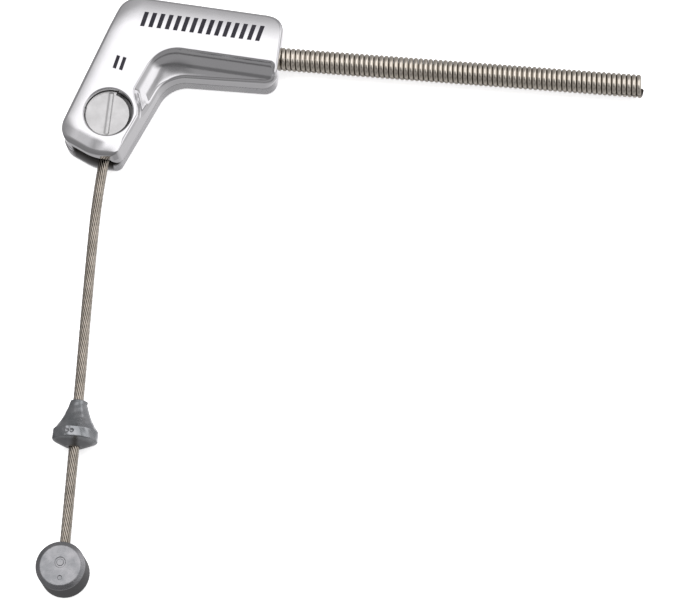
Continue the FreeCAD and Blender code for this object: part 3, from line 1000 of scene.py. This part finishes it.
def marks_piece():
    """Generic print: a row of forward-slanted bars on the arm and a short pair on the leg."""
    bars = []
    for i in range(ROW_BARS):
        sides = (i / ROW_BARS, (i + ROW_BAR_SHARE) / ROW_BARS)
        low = [ROW_LOW[0] + (ROW_LOW[1] - ROW_LOW[0]) * side for side in sides]
        top = [ROW_TOP[0] + (ROW_TOP[1] - ROW_TOP[0]) * side for side in sides]
        bars.append(slanted_bar(*low, *top))
    for step in LEG_BAR_STEPS:
        bars.append(slanted_bar(*(np.add(corner, step) for corner in LEG_BAR)))
    piece = mesh_piece("printed_marks", *joined(bars), INK)
    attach(piece, "carrier")
    return piece


def paint_packed_nodes():
    finishes = {
        "cover_rivets": RIVET_STEEL,
        "cable_liner": LINER_NYLON,
        "conduit_collar": COLLAR_BRASS,
    }
    for name, material in finishes.items():
        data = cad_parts[name].data
        data.materials.clear()
        data.materials.append(material)


# ---------------------------------------------------------------- stage


def make_floor():
    """A pale table that glows a little, as a light table does, so that shadows stay faint."""
    material, tree, surface = new_material("floor_white")
    surface.inputs["Base Color"].default_value = (0.93, 0.93, 0.93, 1)
    surface.inputs["Roughness"].default_value = 0.9
    surface.inputs["Specular IOR Level"].default_value = 0.1
    surface.inputs["Emission Color"].default_value = (1, 1, 1, 1)
    surface.inputs["Emission Strength"].default_value = 0.6
    half = 3000
    corners = [(-half, -half, 0), (half, -half, 0), (half, half, 0), (-half, half, 0)]
    floor = mesh_piece("floor", corners, [(0, 1, 2, 3)], material, smooth=False)
    floor.visible_glossy = False


# Levels of light by direction, in degrees: 0 at the far horizon, 90 overhead, 180 at the near one, -90 below
FRONT_TO_BACK = [
    (-180, 0.25), (-167, 0.25), (-158, 0.4), (-125, 0.42), (-115, 0.36), (-100, 0.42), (-90, 0.48),
    (-83, 0.57), (-75, 0.95), (-62, 0.95), (-54, 0.4), (0, 0.3), (22, 0.3), (42, 0.44), (58, 1.15),
    (95, 1.15), (104, 0.45), (108, 0.29), (122, 0.29), (125, 0.14), (134, 0.14), (137, 0.26), (165, 0.26),
    (167, 0.11), (171, 0.11), (173, 0.25), (180, 0.25),
]
# Levels from the two sides, by degrees above the floor
RIGHT_SIDE = [(-90, 0.5), (4, 0.5), (14, 1.0), (35, 1.0), (39, 0.45), (52, 0.45), (57, 1.15), (90, 1.15)]
LEFT_SIDE = [
    (-90, 0.3), (-60, 0.2), (-38, 0.18), (-20, 0.26), (42, 0.28), (50, 0.42), (60, 0.85), (70, 1.15),
    (90, 1.15),
]
SKY_TINT = (1, 0.985, 1.01)
SIDES_FROM, SIDES_TO = 0.26, 0.65  # how far aside a direction points where the sides take over
NEAR_FROM, NEAR_TO = -0.5, -0.15  # from the near side to the far one, the right side's light sets in here


def level_ramp(tree, turn, full, stops):
    """Brightness by an angle in radians, up to full degrees either way, from stops of (degrees, level)."""
    place = ranged(tree, turn, -math.radians(full), math.radians(full), 0, 1)
    ramp = node(tree, "ValToRGB", Fac=place)
    elements = ramp.color_ramp.elements
    for i, (angle, level) in enumerate(stops):
        stop = elements[i] if i < 2 else elements.new(1)
        stop.position = (angle + full) / (2 * full)
        stop.color = (*(level * tint for tint in SKY_TINT), 1)
    return ramp.outputs["Color"]


def make_sky():
    """A pale studio: a broad white ceiling and grey walls with dark gaps, lighter on the right.

    The camera itself sees plain white.
    """
    world = bpy.data.worlds.new("studio")
    bpy.context.scene.world = world
    world.use_nodes = True
    tree = world.node_tree
    way = node(tree, "TexCoord").outputs["Generated"]
    part = node(tree, "SeparateXYZ", Vector=way).outputs
    turn = node(tree, "Math", operation="ARCTAN2", in0=part["Z"], in1=part["Y"]).outputs[0]
    rise = node(tree, "Math", operation="ARCSINE", in0=part["Z"]).outputs[0]
    middle = level_ramp(tree, turn, 180, FRONT_TO_BACK)
    right = level_ramp(tree, rise, 90, RIGHT_SIDE)
    left = level_ramp(tree, rise, 90, LEFT_SIDE)
    on_right = node(tree, "Math", operation="GREATER_THAN", in0=part["X"], in1=0.0).outputs[0]
    aside = node(tree, "Math", operation="ABSOLUTE", in0=part["X"]).outputs[0]
    share = soft_range(tree, aside, SIDES_FROM, SIDES_TO)
    away = soft_range(tree, part["Y"], NEAR_FROM, NEAR_TO)
    on_left = ranged(tree, on_right, 0, 1, 1, 0)
    whole = node(tree, "Math", operation="MAXIMUM", in0=away, in1=on_left).outputs[0]
    share = node(tree, "Math", operation="MULTIPLY", in0=share, in1=whole).outputs[0]
    painted = mixed(tree, share, middle, mixed(tree, on_right, left, right))
    seen = node(tree, "LightPath").outputs["Is Camera Ray"]
    background = tree.nodes["Background"]
    tree.links.new(mixed(tree, seen, painted, (1, 1, 1)), background.inputs["Color"])


def make_light():
    data = bpy.data.lights.new("overhead", "AREA")
    data.size = 0.8
    data.energy = 5
    light = bpy.data.objects.new("overhead", data)
    bpy.context.scene.collection.objects.link(light)
    light.location = (0.0, 0.1, 0.8)
    light.rotation_euler = (math.radians(-7), 0, 0)
    light.visible_glossy = False


make_camera()
bpy.context.scene.view_settings.view_transform = "Standard"
wire, wire_centre = link_wire_piece()
conduit, conduit_centre = conduit_piece()
cone = field_piece(
    "wire_cone_casting", cone_field, "wire_cone", "link", CONE_ZINC,
    SMALL_GRID, cone_shade_and_dull,
)
barrel = field_piece(
    "barrel_end_casting", barrel_field, "barrel_end", "link", BARREL_ZINC,
    SMALL_GRID, barrel_shade_and_dull,
)
field_piece(
    "front_housing_shell", housing_field, "front_housing", "carrier", POLISHED,
    CARRIER_GRID, carrier_shade_and_dull,
)
field_piece(
    "back_cover_plate", cover_field, "back_cover", "carrier", SATIN,
    CARRIER_GRID, carrier_shade_and_dull,
)
field_piece(
    "link_button_turned", button_field, "link_button", "link", BUTTON_ZINC,
    SMALL_GRID, button_shade_and_dull,
)
marks_piece()
paint_packed_nodes()
make_floor()
make_sky()
make_light()
